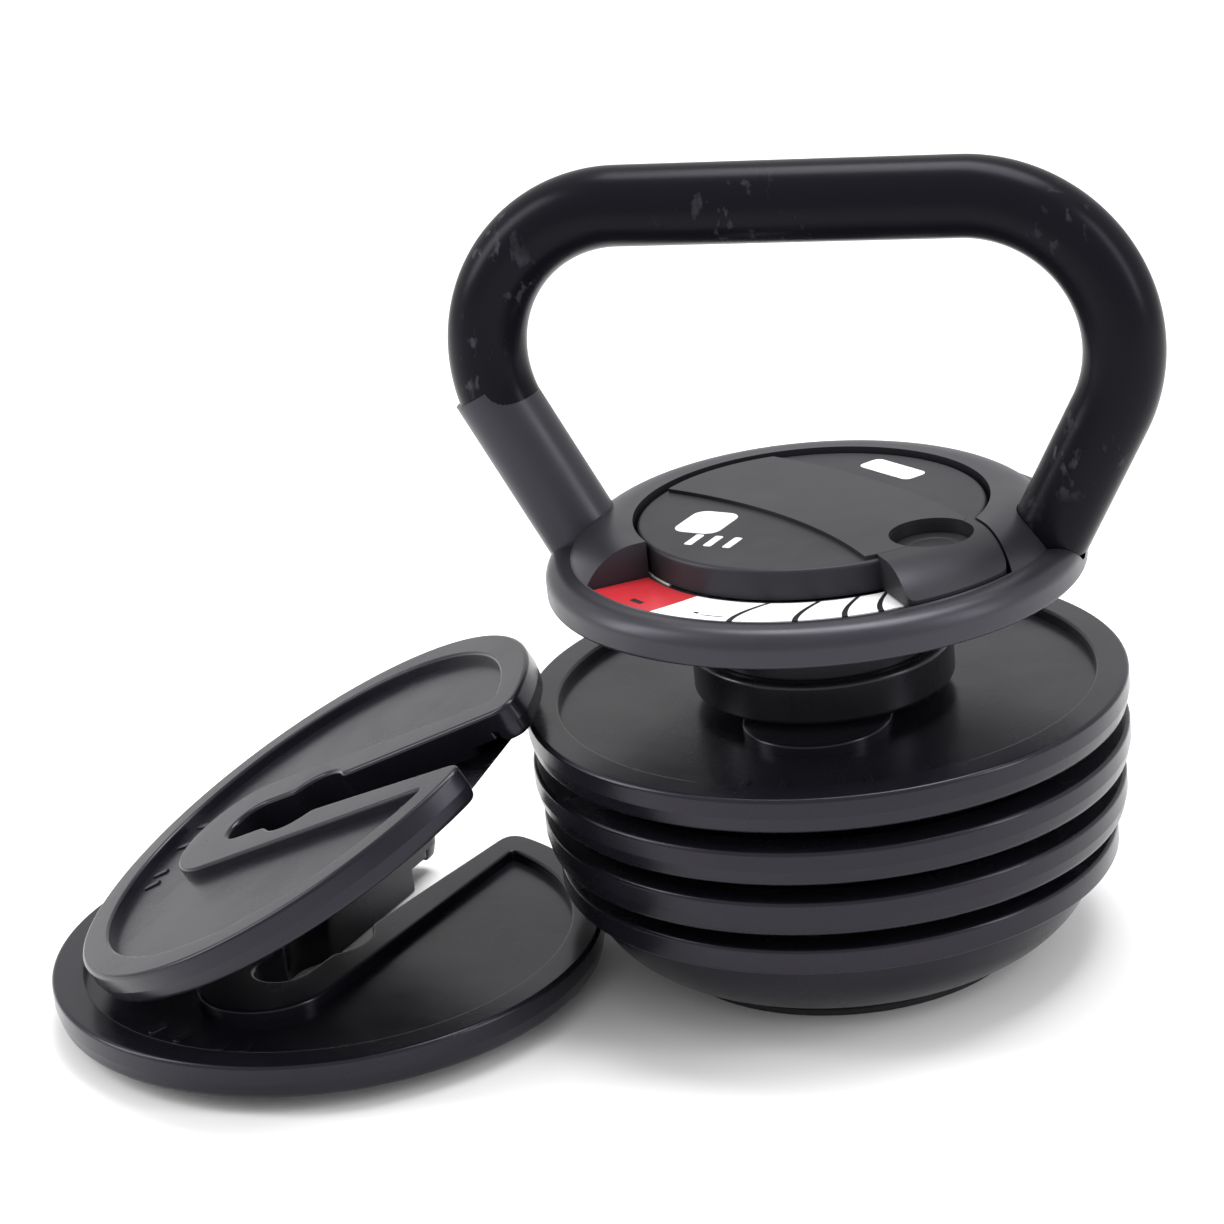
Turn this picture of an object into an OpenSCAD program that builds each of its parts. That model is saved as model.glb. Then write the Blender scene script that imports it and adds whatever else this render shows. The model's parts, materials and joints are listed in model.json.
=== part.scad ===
// Adjustable kettlebell: a handled core, four slotted plates on its post and two plates lifted off.
// Millimetres, +Z up, origin at the centre of the foot's flat underside, handle along X.

/* [Plates] */
// Rim radius of the lowest plate on the post
plate_1_r = 98.5; // [96:0.5:101]
// Rim radius of the second plate
plate_2_r = 102.5; // [100:0.5:105]
// Rim radius of the third plate
plate_3_r = 104.5; // [102:0.5:107]
// Rim radius of the fourth plate
plate_4_r = 105; // [102:0.5:107]
// Rim radius of the loose plate that lies flat
plate_5_r = 99; // [97:0.5:99]
// Rim radius of the loose plate that leans on the stack
plate_6_r = 94.5; // [93:0.5:96]
// Height that each full plate adds to the stack
plate_pitch = 19; // [18.5:0.1:19.5]
// Height that the thin lowest plate adds to the stack
first_plate_h = 9.4; // [9:0.1:10]
// Height of a full plate's outer wall
rim_h = 12.7; // [12:0.1:13.5]
// Width of the raised rim
rim_w = 11.5; // [10:0.5:13]
// Depth of the recess in a plate's top
recess_d = 4; // [3:0.5:4.5]
// Width of the slot that lets a plate onto the post
slot_w = 20.8; // [20.4:0.1:21.5]
// Sideways flare of each slot edge toward the mouth, per millimetre of length
slot_flare = 0.065; // [0:0.005:0.07]
// Radius of the round seat in the middle of the slot
seat_r = 16; // [15.9:0.1:16.5]
// Distance from the plate's centre to the slot's closed end
slot_end = 38; // [34:1:40]
// Half width of the raised band beside the slot
band_w = 25.5; // [23:0.5:27]

/* [Core] */
// Height of the fixed base plate's top
base_h = 33; // [31:0.5:34]
// Radius of the base plate's top
base_r = 91.5; // [90:0.5:93]
// Radius of the rubber foot
foot_r = 64; // [60:1:66]
// Thickness of the rubber foot
foot_h = 5.5; // [5:0.5:6]
// Width of the post's flat blade
blade_w = 19.6; // [19:0.1:20]
// Half length of the post's flat blade
blade_r = 31.6; // [30:0.1:32]

/* [Lid] */
// Radius of the lid's rim
lid_r = 93; // [92:0.5:94]
// Height of the lid's lower edge
lid_low = 139.5; // [138.5:0.5:140]
// Height of the lid's flat web, which is the floor of its window
web_top = 150.3; // [150:0.1:151]
// Height of the lid's crown
crown = 163.2; // [163:0.1:163.5]
// Radius of the round well that the dial turns in
well_r = 61.3; // [61:0.1:61.5]
// Outer radius of the scale window
window_r = 83.7; // [83:0.1:84]
// Angle of the window's left end, measured from +X
window_start = -142.5; // [-144:0.5:-141]

/* [Handle] */
// Diameter of the handle's tube
tube_d = 27.5; // [26:0.5:28.5]
// Wall of the handle's tube
tube_wall = 3; // [2:0.5:4]
// Height of the grip's centre line
grip_z = 269.75; // [262:0.25:280]
// Half length of the straight grip
grip_half = 58.65; // [56:0.05:61]
// Bend radius of the tube's centre line
bend_r = 51.25; // [48:0.25:53]
// Lean of each leg from the vertical
leg_lean = 27.75; // [26:0.25:29]

/* [Dial] */
// Radius of the dial
dial_r = 60; // [59.5:0.1:60.4]
// Height of the dial's top face
dial_top = 161.5; // [161:0.1:162]
// Height that the curved trim band stands above the dial
trim_h = 1.3; // [1:0.1:1.5]
// Reach of the dial's arm
arm_r = 82.6; // [80:0.1:83]
// Radius of the finger hole
finger_r = 14; // [13:0.5:14]
// Distance from the axis to the finger hole and its lock button
finger_at = 54.5; // [54:0.5:55]
// Angle of the finger hole, measured from +X
finger_angle = -30; // [-31:1:-29]
// Turn of the dial from full clamp to the red end of its scale
dial_turn = 85; // [80:1:85]

/* [Clamp] */
// Radius of the clamp collar
collar_r = 45.4; // [44.5:0.1:45.6]
// Height of the clamp collar
collar_h = 15.2; // [14:0.1:15.2]
// Wall of the two lift sleeves and the drive sleeve
sleeve_wall = 2.7; // [2.5:0.1:2.8]
// Radial clearance between one sleeve and the next
sleeve_gap = 0.35; // [0.3:0.05:0.4]

/* [Hidden] */
$fn = 96;
eps = 0.02;
weld = 0.05;
seat_gap = 0.1;
stack_turn = 8;
post_head_h = 15;
post_screw_x = 11;
iron = [0.07, 0.07, 0.08];
satin_black = [0.1, 0.1, 0.11];
steel = [0.62, 0.63, 0.65];
zinc = [0.75, 0.75, 0.72];

// Stack heights
plate_h = plate_pitch - seat_gap;
plate_1_h = first_plate_h - seat_gap;
top_1 = base_h + first_plate_h;
top_4 = top_1 + 3 * plate_pitch;
disc_low = plate_h - rim_h;
web_low = plate_h - recess_d - 5.5;

// Loose plates: where their undersides' centres lie and how they lean
flat_at = [-177.2, -52.1, 0];
flat_turn = -15;
lean_at = [-176, -60.5, 75.5];
lean_tilt = 27.8;
lean_azimuth = 193;
lean_slot = 152;

// Lid and dial
shoulder_r = 21.7;
shoulder_at = [65, crown - shoulder_r];
bead_r = 6.5;
web_low_z = 143;
collar_hole_r = collar_r + 0.8;
relief_x = 67.2;
socket_z = 147;
window_reach = 226.8;
arm_reach = 226;
band_centre = [-120.7, -151.3];
band_in = 181;
band_out = 224.5;
arm_low = 151.3;
shell_low = dial_top - 2;
skirt_low = 151;
skirt_in = dial_r - 2.4;
arm_start = -55.5;
finger_at_xy = finger_at * [cos(finger_angle), sin(finger_angle)];
pocket_low = 153.2;
pocket_floor = 154.2;
cup_r = 6.5;
button_low = 156.7;
button_top = 158.1;
spring_turns = 3;
wire_arc = 145;
key_low = 148.5;
key_r = 3;
index_top = web_top;
index_h = 2;
index_screw_angles = [-21, -124];
index_steps = 6;
groove_low = 144.8;

// Telescoping clamp
collar_low = top_4 + 0.2;
sleeve_step = sleeve_wall + sleeve_gap;
collar_in = collar_r - 4.1;
lower_r = collar_in - sleeve_gap + 0.05;
upper_r = lower_r - sleeve_step;
drive_r = upper_r - sleeve_step;
lower_low = 111.6;
upper_low = 124.6;
drive_low = 137.9;
drive_high = 152.9;
tab_in = 27;
tab_angles = [125, -50];
tab_at = 30.5;

// Bridge across the lid
bar_low = 153.2;
bar_top = 158.3;
bar_half = 56;
bar_w = 18;
bar_foot = 47;
bar_screw_x = 51.5;
bar_screw_y = 5;

function arc(c, r, a0, a1, n = 6) =
    [for (i = [0:n]) c + r * [cos(a0 + (a1 - a0) * i / n), sin(a0 + (a1 - a0) * i / n)]];

// Point on the leg's centre line where its upper bend begins
bend_at = [grip_half, grip_z - bend_r];
leg_top = bend_at + bend_r * [cos(leg_lean), -sin(leg_lean)];

// ---- plates ----

module band_2d(half, reach) {
    translate([-half, half - slot_end - 23.5])
        square([2 * half, reach]);
    translate([0, half - slot_end - 23.5])
        circle(half);
}

module slot_2d(reach) {
    half = slot_w / 2;
    circle(seat_r);
    polygon([[-half, half - slot_end], [half, half - slot_end], [half, seat_r],
             [half + slot_flare * reach, seat_r + reach],
             [-half - slot_flare * reach, seat_r + reach], [-half, seat_r]]);
    translate([0, slot_w / 2 - slot_end])
        circle(slot_w / 2);
}

// Outer wall: a 0.8 mm inward draft and rounded edges, from its low edge to its top
function wall_points(r, low, high) = concat(
    arc([r - 2.8, low + 2], 2, -90, 0, 5),
    arc([r - 1.6, high - 1.6], 1.6, 0, 90, 5));

module recess(r, h) {
    translate([0, 0, h - recess_d])
        linear_extrude(recess_d + 1)
            difference() {
                circle(r - rim_w);
                band_2d(band_w, 300);
            }
}

// Raised tally marks on the recess floor, on the side away from the slot's mouth
module marks(r, h) {
    for (a = [-14, -5, 8, 14])
        rotate([0, 0, a])
            translate([0, 12 - r, h - recess_d - eps])
                linear_extrude(0.8)
                    translate([-1.2, 5])
                        square([2.4, 7]);
}

module full_plate(r) {
    boss = r - 23;
    difference() {
        rotate_extrude()
            polygon(concat([[0, 0], [boss - 1, 0], [boss, 1], [boss, web_low], [r - 13, web_low],
                            [r - 12, disc_low]],
                           wall_points(r, disc_low, plate_h), [[0, plate_h]]));
        recess(r, plate_h);
        translate([0, 0, -1])
            linear_extrude(plate_h + 2)
                slot_2d(200);
        translate([0, 0, -1])
            linear_extrude(web_low + 1)
                difference() {
                    circle(boss - 7);
                    circle(seat_r + 8);
                    band_2d(slot_w / 2 + 7, 300);
                }
    }
    marks(r, plate_h);
}

module thin_plate(r) {
    difference() {
        rotate_extrude()
            polygon(concat([[0, 0]], wall_points(r, 0, plate_1_h), [[0, plate_1_h]]));
        recess(r, plate_1_h);
        translate([0, 0, -1])
            linear_extrude(plate_1_h + 2)
                slot_2d(200);
    }
    marks(r, plate_1_h);
}

module plate_1() {
    color(iron)
        translate([0, 0, base_h + seat_gap])
            rotate([0, 0, stack_turn])
                thin_plate(plate_1_r);
}

module stacked_plate(r, level) {
    color(iron)
        translate([0, 0, top_1 + (level - 2) * plate_pitch + seat_gap])
            rotate([0, 0, stack_turn])
                full_plate(r);
}

module plate_5() {
    color(iron)
        translate(flat_at)
            rotate([0, 0, flat_turn])
                full_plate(plate_5_r);
}

module plate_6() {
    color(iron)
        translate(lean_at)
            rotate([0, lean_tilt, lean_azimuth])
                rotate([0, 0, lean_slot - 90])
                    translate([0, 0, -plate_h])
                        full_plate(plate_6_r);
}

// ---- base and post ----

module foot_pad() {
    color([0.05, 0.05, 0.05])
        rotate_extrude()
            polygon(concat([[0, 0]], arc([foot_r - 1, 1], 1, -90, 0, 4),
                           [[foot_r, foot_h], [62, foot_h], [62, foot_h + 2], [59, foot_h + 2],
                            [59, foot_h], [24, foot_h], [24, 3], [0, 3]]));
}

module base_plate() {
    bowl = 32;
    color(iron)
        difference() {
            rotate_extrude()
                polygon(concat([[12.05, 12], [24, 12], [24, 26], [55, 26], [55, foot_h],
                                [66, foot_h]],
                               arc([base_r - bowl, base_h + 4.4], bowl + 0.5, -78.5, -10.5, 10),
                               arc([base_r - 1.5, base_h - 1.5], 1.5, 0, 90, 4),
                               [[12.05, base_h]]));
            translate([0, 0, foot_h - 1])
                difference() {
                    cylinder(r = 62.1, h = 3.2);
                    translate([0, 0, -1])
                        cylinder(r = 58.9, h = 5.2);
                }
        }
}

module base_washer() {
    color(zinc)
        translate([0, 0, 9.5])
            difference() {
                cylinder(r = 18, h = 2.5);
                translate([0, 0, -1])
                    cylinder(r = 7.2, h = 4.5);
            }
}

module base_bolt() {
    color(zinc) {
        translate([0, 0, 3.2])
            cylinder(r = 12.5, h = 6.3, $fn = 6);
        translate([0, 0, 9.4])
            cylinder(r = 7, h = 30.6);
    }
}

module blade_2d() {
    intersection() {
        square([blade_w, 80], center = true);
        circle(blade_r);
    }
}

module centre_post() {
    color(steel)
        difference() {
            union() {
                translate([0, 0, 12])
                    cylinder(r = 12, h = base_h - 12 + eps);
                translate([0, 0, base_h])
                    rotate([0, 0, stack_turn])
                        linear_extrude(bar_low - base_h)
                            blade_2d();
                translate([0, 0, bar_low - post_head_h])
                    cylinder(r = 15.6, h = post_head_h);
            }
            translate([0, 0, 11])
                cylinder(r = 7.05, h = 31);
            translate([0, 0, bar_low - 12])
                cylinder(r = 4.05, h = 13);
            for (x = [-post_screw_x, post_screw_x])
                translate([x, 0, bar_low - 12])
                    cylinder(r = 2.55, h = 13);
        }
}

// ---- handle and lid ----

module ring_2d(d) {
    difference() {
        circle(d = d);
        circle(d = d - 2 * tube_wall);
    }
}

module legs() {
    for (side = [0, 180])
        rotate([0, 0, side])
            translate([leg_top[0], 0, leg_top[1]])
                rotate([0, 180 + leg_lean, 0])
                    children();
}

module handle() {
    color(satin_black) {
        translate([-grip_half - weld, 0, grip_z])
            rotate([0, 90, 0])
                rotate([0, 0, 30])
                    linear_extrude(2 * (grip_half + weld))
                        ring_2d(tube_d + eps);
        for (side = [0, 180])
            rotate([0, 0, side])
                translate([bend_at[0], 0, bend_at[1]])
                    rotate([90, 0, 0])
                        rotate([0, 0, -leg_lean])
                            rotate_extrude(angle = 90 + leg_lean)
                                translate([bend_r, 0])
                                    ring_2d(tube_d);
        difference() {
            legs()
                translate([0, 0, -weld])
                    linear_extrude(90)
                        ring_2d(tube_d + eps);
            translate([-150, -50, socket_z - 100])
                cube([300, 100, 100]);
        }
    }
}

module window_2d(inner, outer, start, edge) {
    intersection() {
        difference() {
            circle(outer);
            circle(inner);
        }
        translate(band_centre)
            circle(edge);
        polygon([[0, 0], 200 * [cos(start), sin(start)], [0, -200], [200, -200], [200, 0]]);
    }
}

module lid() {
    color(satin_black)
        difference() {
            rotate_extrude()
                polygon(concat([[collar_hole_r, 141], [56, 141], [58, web_low_z], [86, web_low_z],
                                [88.5, lid_low], [lid_r - 1.4, lid_low], [lid_r, lid_low + 1.4]],
                               arc([lid_r - bead_r, 145.5], bead_r, 0, 90, 8),
                               arc(shoulder_at, shoulder_r, 29, 90, 14),
                               [[well_r, crown], [well_r, web_top], [collar_hole_r, web_top]]));
            translate([0, 0, web_top])
                linear_extrude(20)
                    window_2d(well_r - 1, window_r, window_start, window_reach);
            difference() {
                legs()
                    cylinder(d = tube_d + 0.1, h = 90);
                translate([-150, -50, socket_z - 100])
                    cube([300, 100, 100]);
            }
            for (x = [-relief_x, relief_x])
                translate([x, 0, 157.5])
                    cylinder(r = 3.2, h = 10);
            for (x = [-bar_screw_x, bar_screw_x], y = [-bar_screw_y, bar_screw_y])
                translate([x, y, web_top - 6])
                    cylinder(r = 2.05, h = 7);
            translate([0, 0, groove_low])
                linear_extrude(10)
                    index_2d(0.1);
            for (a = index_screw_angles)
                rotate([0, 0, a])
                    translate([finger_at, 0, web_low_z + 1])
                        cylinder(r = 1.05, h = 3);
        }
}

// Printed scale: its outer edge runs off centre, so that it narrows to the right
module scale_label() {
    color("white")
        translate([0, 0, web_top])
            linear_extrude(0.4)
                intersection() {
                    window_2d(well_r + 0.5, window_r - 0.5, window_start + 0.5, arm_reach);
                    translate([-3, 5])
                        circle(83.3);
                    polygon([[0, 0], [-200, 0], [-200, -200], 200 * [cos(-51), sin(-51)]]);
                }
}

// ---- index plate under the dial ----

module sector_2d(a0, a1) {
    middle = (a0 + a1) / 2;
    polygon([[0, 0], 200 * [cos(a0), sin(a0)], 200 * [cos(middle), sin(middle)],
             200 * [cos(a1), sin(a1)]]);
}

module ring_sector_2d(inner, outer, a0, a1) {
    intersection() {
        difference() {
            circle(outer);
            circle(inner);
        }
        sector_2d(a0, a1);
    }
}

module index_2d(grow) {
    ring_sector_2d(finger_at - 5.5 - grow, finger_at + 5.5 + grow, -128 - grow, -17 + grow);
}

// Curved track for the latch pin's key, widened into a round stop at each setting
module index_plate() {
    color(steel)
        difference() {
            union() {
                translate([0, 0, index_top - index_h])
                    linear_extrude(index_h)
                        index_2d(0);
                for (a = index_screw_angles)
                    rotate([0, 0, a])
                        translate([finger_at, 0, groove_low])
                            cylinder(r = 1.6, h = index_top - index_h - groove_low + eps);
            }
            translate([0, 0, index_top - index_h - 1])
                linear_extrude(index_h + 2)
                    ring_sector_2d(finger_at - key_r - 0.2, finger_at + key_r + 0.2, finger_angle - dial_turn,
                                   finger_angle);
            for (i = [0:index_steps])
                rotate([0, 0, finger_angle - dial_turn * i / index_steps])
                    translate([finger_at, 0, index_top - index_h - 1])
                        cylinder(r = key_r + 0.7, h = index_h + 2);
            for (a = index_screw_angles)
                rotate([0, 0, a])
                    translate([finger_at, 0, groove_low - 1])
                        cylinder(r = 1.1, h = 10);
        }
}

module index_screws() {
    color(zinc)
        for (a = index_screw_angles)
            rotate([0, 0, a])
                translate([finger_at, 0, 0]) {
                    translate([0, 0, web_low_z + 1.2])
                        cylinder(r = 1, h = index_top - web_low_z - 1.2);
                    translate([0, 0, index_top])
                        cylinder(r = 1.5, h = 0.3);
                }
}

// ---- bridge from the lid to the post ----

module bridge_bar() {
    color(steel)
        difference() {
            union() {
                translate([-bar_half, -bar_w / 2, bar_low])
                    cube([2 * bar_half, bar_w, bar_top - bar_low]);
                for (side = [0, 180])
                    rotate([0, 0, side])
                        translate([bar_foot, -bar_w / 2, web_top])
                            cube([bar_half - bar_foot, bar_w, bar_top - web_top]);
            }
            translate([0, 0, bar_low - 1])
                cylinder(r = 4.05, h = 20);
            for (x = [-post_screw_x, post_screw_x])
                translate([x, 0, 0]) {
                    translate([0, 0, bar_low - 1])
                        cylinder(r = 3.05, h = 20);
                    translate([0, 0, bar_top - 2.5])
                        cylinder(r1 = 3, r2 = 5.6, h = 2.5 + eps);
                }
            for (x = [-bar_screw_x, bar_screw_x], y = [-bar_screw_y, bar_screw_y])
                translate([x, y, 0]) {
                    translate([0, 0, web_top - 1])
                        cylinder(r = 2.6, h = 20);
                    translate([0, 0, bar_top - 4])
                        cylinder(r = 3.9, h = 20);
                }
        }
}

module bridge_screws() {
    color(zinc)
        for (x = [-bar_screw_x, bar_screw_x], y = [-bar_screw_y, bar_screw_y])
            translate([x, y, 0]) {
                translate([0, 0, web_top - 5.5])
                    cylinder(r = 2, h = bar_top - 4 - web_top + 5.6);
                translate([0, 0, bar_top - 4])
                    difference() {
                        cylinder(r = 3.7, h = 3.5);
                        translate([0, 0, 1.5])
                            cylinder(r = 2, h = 4, $fn = 6);
                    }
            }
}

module post_screws() {
    color(zinc)
        for (x = [-post_screw_x, post_screw_x])
            translate([x, 0, 0])
                difference() {
                    union() {
                        translate([0, 0, bar_low - 10])
                            cylinder(r = 2.5, h = bar_top - bar_low + 8);
                        translate([0, 0, bar_top - 2.45])
                            cylinder(r1 = 2.9, r2 = 5.4, h = 2.4);
                    }
                    translate([0, 0, bar_top - 1.8])
                        cylinder(r = 2, h = 4, $fn = 6);
                }
}

module glide_ring() {
    color([0.85, 0.84, 0.8])
        translate([0, 0, web_top])
            difference() {
                linear_extrude(skirt_low - web_top - 0.05)
                    difference() {
                        circle(dial_r + 0.2);
                        circle(finger_at + cup_r + 0.3 - 2.2);
                    }
                translate([0, 0, -1])
                    linear_extrude(5)
                        ring_sector_2d(40, 62, -131, -14);
            }
}

// ---- dial ----

module arm_2d() {
    intersection() {
        circle(arm_r);
        translate(band_centre)
            circle(arm_reach);
        polygon([[0, 0], 200 * [cos(arm_start), sin(arm_start)], [200, -200], [200, 0]]);
    }
}

module dial() {
    color(satin_black)
        difference() {
            union() {
                rotate_extrude()
                    polygon(concat([[0, shell_low], [skirt_in, shell_low], [skirt_in, skirt_low]],
                                   [[dial_r, skirt_low]],
                                   arc([dial_r - 1.5, dial_top - 1.5], 1.5, 0, 90, 5),
                                   [[0, dial_top]]));
                translate([0, 0, shell_low - 0.8])
                    cylinder(r = 12, h = 1);
                intersection() {
                    rotate_extrude()
                        polygon(concat([[skirt_in + 0.5, arm_low], [arm_r, arm_low]],
                                       arc(shoulder_at - [0.2, 0.4], shoulder_r, 34.5, 90, 12),
                                       [[skirt_in + 0.5, crown - 0.4]]));
                    translate([0, 0, arm_low - 1])
                        linear_extrude(30)
                            arm_2d();
                }
                translate([finger_at_xy[0], finger_at_xy[1], pocket_low])
                    cylinder(r = finger_r + 1.5, h = dial_top - pocket_low);
                translate([finger_at_xy[0], finger_at_xy[1], 150.7])
                    cylinder(r = cup_r, h = pocket_low - 150.7 + 0.5);
            }
            translate([0, 0, shell_low - 2])
                cylinder(r = 4.2, h = 20);
            translate([0, 0, dial_top - 1.7])
                cylinder(r = 8.2, h = 20);
            translate([finger_at_xy[0], finger_at_xy[1], pocket_floor])
                cylinder(r = finger_r, h = 20);
            translate([finger_at_xy[0], finger_at_xy[1], 151.4])
                cylinder(r = cup_r - 1.2, h = 20);
            translate([finger_at_xy[0], finger_at_xy[1], 140])
                cylinder(r = 1.5, h = 20);
            for (a = tab_angles)
                rotate([0, 0, a])
                    translate([tab_at, 0, 0]) {
                        translate([0, 0, shell_low - 1])
                            cylinder(r = 1.6, h = 10);
                        translate([0, 0, dial_top - 1.2])
                            cylinder(r = 3, h = 10);
                    }
        }
}

module trim_band() {
    color([0.12, 0.12, 0.13])
        translate([0, 0, dial_top])
            linear_extrude(trim_h)
                difference() {
                    intersection() {
                        circle(dial_r - 2.1);
                        translate(band_centre)
                            difference() {
                                circle(band_out);
                                circle(band_in);
                            }
                    }
                    translate(finger_at_xy)
                        circle(finger_r + 0.3);
                }
}

// Printed marks: a tag with three bars in front of the trim band, and a tag behind it
module dial_marks() {
    color("white")
        translate([0, 0, dial_top])
            linear_extrude(0.15) {
                translate([-33.5, -14])
                    rotate([0, 0, -14])
                        square([17, 21], center = true);
                for (i = [0:2])
                    translate([-33.5 + 7 * i, -31 - 1.5 * i])
                        rotate([0, 0, -14])
                            square([3, 10], center = true);
                translate([20.2, 40.7])
                    rotate([0, 0, -37])
                        square([26, 10], center = true);
            }
}

module dial_washer() {
    color(zinc)
        translate([0, 0, bar_top])
            difference() {
                cylinder(r = 4.9, h = 0.3);
                translate([0, 0, -1])
                    cylinder(r = 4.05, h = 4);
            }
}

module dial_screw() {
    color(zinc)
        difference() {
            union() {
                translate([0, 0, bar_low - 10])
                    cylinder(r = 4, h = dial_top - 1.6 - bar_low + 10.1);
                translate([0, 0, dial_top - 1.6])
                    cylinder(r = 7.5, h = 1.4);
            }
            translate([0, 0, dial_top - 2.4])
                cylinder(r = 2.5, h = 5, $fn = 6);
        }
}

module drive_sleeve() {
    color(zinc) {
        translate([0, 0, drive_low])
            difference() {
                cylinder(r = drive_r, h = drive_high - drive_low);
                translate([0, 0, -1])
                    cylinder(r = drive_r - sleeve_wall, h = 30);
            }
        difference() {
            union() {
                translate([0, 0, drive_high - 2])
                    linear_extrude(shell_low - drive_high + 2)
                        for (a = tab_angles)
                            ring_sector_2d(drive_r - sleeve_wall, drive_r, a - 10, a + 10);
                translate([0, 0, shell_low - 2.5])
                    linear_extrude(2.5)
                        for (a = tab_angles)
                            ring_sector_2d(tab_in, drive_r, a - 10, a + 10);
            }
            for (a = tab_angles)
                rotate([0, 0, a])
                    translate([tab_at, 0, shell_low - 5])
                        cylinder(r = 1.3, h = 10);
        }
    }
}

module drive_screws() {
    color(zinc)
        for (a = tab_angles)
            rotate([0, 0, a])
                translate([tab_at, 0, 0]) {
                    translate([0, 0, shell_low - 2.4])
                        cylinder(r = 1.25, h = 3.3);
                    translate([0, 0, dial_top - 1.2])
                        cylinder(r = 2.8, h = 1);
                }
}

// ---- lock button ----

module lock_button() {
    color([0.16, 0.16, 0.17])
        translate([finger_at_xy[0], finger_at_xy[1], button_low])
            rotate_extrude()
                polygon(concat([[0, 0]], [[finger_r - 0.4, 0]],
                               arc([finger_r - 1.1, button_top - button_low - 0.7], 0.7, 0, 90, 4),
                               [[9, button_top - button_low], [7.5, button_top - button_low - 0.4],
                                [0, button_top - button_low - 0.4]]));
}

module latch_pin() {
    color(steel)
        translate([finger_at_xy[0], finger_at_xy[1], 0]) {
            translate([0, 0, key_low])
                cylinder(r = key_r, h = 1.6);
            translate([0, 0, key_low + 1])
                cylinder(r = 1.3, h = button_low - key_low - 1);
        }
}

module button_spring() {
    low = 151.45;
    color(zinc)
        translate([finger_at_xy[0], finger_at_xy[1], low])
            linear_extrude(button_low - low - 0.05, twist = -360 * spring_turns, slices = 36,
                           $fn = 12)
                ring_sector_2d(3.5, 4.3, 0, wire_arc);
}

// ---- telescoping clamp ----

module sleeve(r, low) {
    color(steel)
        translate([0, 0, low])
            difference() {
                cylinder(r = r, h = collar_h);
                translate([0, 0, -1])
                    cylinder(r = r - sleeve_wall, h = collar_h + 2);
            }
}

module clamp_collar() {
    color(satin_black)
        translate([0, 0, collar_low])
            rotate_extrude()
                polygon(concat([[collar_in, 0]], arc([collar_r - 2, 2], 2, -90, 0, 5),
                               arc([collar_r - 2, collar_h - 2], 2, 0, 90, 5),
                               [[collar_in, collar_h]]));
}

foot_pad();
base_plate();
base_washer();
base_bolt();
centre_post();
plate_1();
stacked_plate(plate_2_r, 2);  // plate_2
stacked_plate(plate_3_r, 3);  // plate_3
stacked_plate(plate_4_r, 4);  // plate_4
plate_5();
plate_6();
lid();
handle();
scale_label();
index_plate();
index_screws();
bridge_bar();
bridge_screws();
post_screws();
glide_ring();
dial();
trim_band();
dial_marks();
dial_washer();
dial_screw();
drive_sleeve();
drive_screws();
lock_button();
latch_pin();
button_spring();
sleeve(upper_r, upper_low);  // upper_sleeve
sleeve(lower_r, lower_low);  // lower_sleeve
clamp_collar();
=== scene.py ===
"""Looks of the adjustable kettlebell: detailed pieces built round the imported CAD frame."""

import json
import math

import bmesh
import bpy
from mathutils import Matrix, Vector
from mathutils.geometry import tessellate_polygon


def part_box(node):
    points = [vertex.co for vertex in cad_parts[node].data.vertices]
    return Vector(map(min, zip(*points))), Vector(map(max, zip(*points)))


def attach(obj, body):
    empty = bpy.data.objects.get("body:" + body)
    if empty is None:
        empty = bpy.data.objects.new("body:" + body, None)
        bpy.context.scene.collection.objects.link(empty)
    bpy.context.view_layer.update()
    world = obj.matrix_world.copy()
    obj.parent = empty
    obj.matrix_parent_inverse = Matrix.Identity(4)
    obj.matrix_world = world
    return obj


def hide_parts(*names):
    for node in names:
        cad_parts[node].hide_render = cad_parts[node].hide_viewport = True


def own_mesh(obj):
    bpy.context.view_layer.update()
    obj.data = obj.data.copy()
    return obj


MM = 0.001
FULL_TURN = 360

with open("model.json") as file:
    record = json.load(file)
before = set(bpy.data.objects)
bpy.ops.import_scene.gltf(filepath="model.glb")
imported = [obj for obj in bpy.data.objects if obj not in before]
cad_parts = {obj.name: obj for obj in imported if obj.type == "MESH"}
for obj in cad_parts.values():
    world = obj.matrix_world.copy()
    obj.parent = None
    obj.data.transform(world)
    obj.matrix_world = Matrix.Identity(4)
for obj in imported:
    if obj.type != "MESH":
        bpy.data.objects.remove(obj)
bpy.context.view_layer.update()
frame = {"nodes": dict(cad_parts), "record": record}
nodes = frame["nodes"]
record = frame["record"]
slot_of = {part["node"]: part["material_slot"] for part in record["subparts"]}
body_of_node = {n: b for b, names in record["behaviour"]["bodies"].items() for n in names}


def low(node):
    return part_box(node)[0] / MM


def high(node):
    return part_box(node)[1] / MM


# ---- outlines and meshes, in millimetres ----

def arc(centre, radius, start, end, steps=24):
    points = []
    for i in range(steps + 1):
        a = math.radians(start + (end - start) * i / steps)
        points.append((centre[0] + radius * math.cos(a), centre[1] + radius * math.sin(a)))
    return points


def resample(points, spacing):
    """The closed outline again, with corners kept only as close as the spacing."""
    out = []
    for i, p in enumerate(points):
        q = points[(i + 1) % len(points)]
        length = math.dist(p, q)
        steps = max(1, round(length / spacing))
        if length > 1e-6:
            out += [(p[0] + (q[0] - p[0]) * k / steps, p[1] + (q[1] - p[1]) * k / steps)
                    for k in range(steps)]
    return out


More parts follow.
